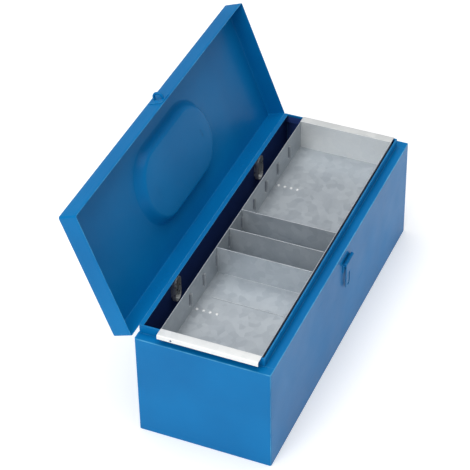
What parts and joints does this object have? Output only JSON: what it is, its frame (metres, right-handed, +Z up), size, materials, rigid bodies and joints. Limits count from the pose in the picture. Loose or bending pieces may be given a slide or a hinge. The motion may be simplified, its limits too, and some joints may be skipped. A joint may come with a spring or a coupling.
{
  "type": "toolbox with tray",
  "caption": "Sheet steel toolbox with a hinged pan lid, a lift-out tray with movable dividers, a padlock hasp and a folding carry handle.",
  "frame": {"origin": "middle of the box's bottom face", "axes": "+X along the box's length, the hasp wall faces -Y, +Z up"},
  "size_m": [0.56, 0.3078, 0.3668],
  "materials": {
    "blue_paint": "gloss blue enamel, darker inside the box",
    "galvanised_sheet": "dull zinc coating",
    "zinc_fitting": "bright zinc plate",
    "plated_wire": "bright plate"
  },
  "bodies": {
    "toolbox_body": {"body_wrap": "blue_paint", "end_panel_left": "blue_paint", "end_panel_right": "blue_paint", "hinge_strap_left": "zinc_fitting", "hinge_strap_right": "zinc_fitting", "hinge_pin_left": "zinc_fitting", "hinge_pin_right": "zinc_fitting", "hinge_strap_rivets": "zinc_fitting", "hasp_base": "blue_paint", "hasp_pin": "blue_paint", "hasp_rivets": "blue_paint"},
    "lid": {"lid_shell": "blue_paint", "hinge_leaf_left": "zinc_fitting", "hinge_leaf_right": "zinc_fitting", "hinge_leaf_rivets": "zinc_fitting", "lid_staple_plate": "blue_paint", "lid_staple": "blue_paint", "staple_rivets": "blue_paint", "handle_bracket_left": "zinc_fitting", "handle_bracket_right": "zinc_fitting", "handle_rivets": "zinc_fitting"},
    "handle": {"handle_bail": "plated_wire"},
    "hasp": {"hasp_strap": "blue_paint"},
    "tray": {"tray_trough": "galvanised_sheet", "tray_end_left": "galvanised_sheet", "tray_end_right": "galvanised_sheet"},
    "left_divider": {"divider_left": "galvanised_sheet"},
    "middle_divider": {"divider_middle": "galvanised_sheet"},
    "right_divider": {"divider_right": "galvanised_sheet"}
  },
  "joints": [
    {"name": "lid_hinge", "type": "hinge", "parent": "toolbox_body", "child": "lid", "pos_m": [0, 0.1024, 0.1703], "axis": [1, 0, 0], "range_deg": [0, 110.7]},
    {"name": "tray_lift", "type": "slide", "parent": "toolbox_body", "child": "tray", "axis": [0, 0, 1], "range_m": [0, 0.12]},
    {"name": "left_divider_lift", "type": "slide", "parent": "tray", "child": "left_divider", "axis": [0, 0, 1], "range_m": [0, 0.12]},
    {"name": "middle_divider_lift", "type": "slide", "parent": "tray", "child": "middle_divider", "axis": [0, 0, 1], "range_m": [0, 0.12]},
    {"name": "right_divider_lift", "type": "slide", "parent": "tray", "child": "right_divider", "axis": [0, 0, 1], "range_m": [0, 0.12]},
    {"name": "hasp_swing", "type": "hinge", "parent": "toolbox_body", "child": "hasp", "pos_m": [0.008, -0.104, 0.15], "axis": [-1, 0, 0], "range_deg": [0, 180]},
    {"name": "handle_swing", "type": "hinge", "parent": "lid", "child": "handle", "pos_m": [0, 0.15983, 0.25807], "axis": [1, 0, 0], "range_deg": [-20.7, 69.3]}
  ]
}
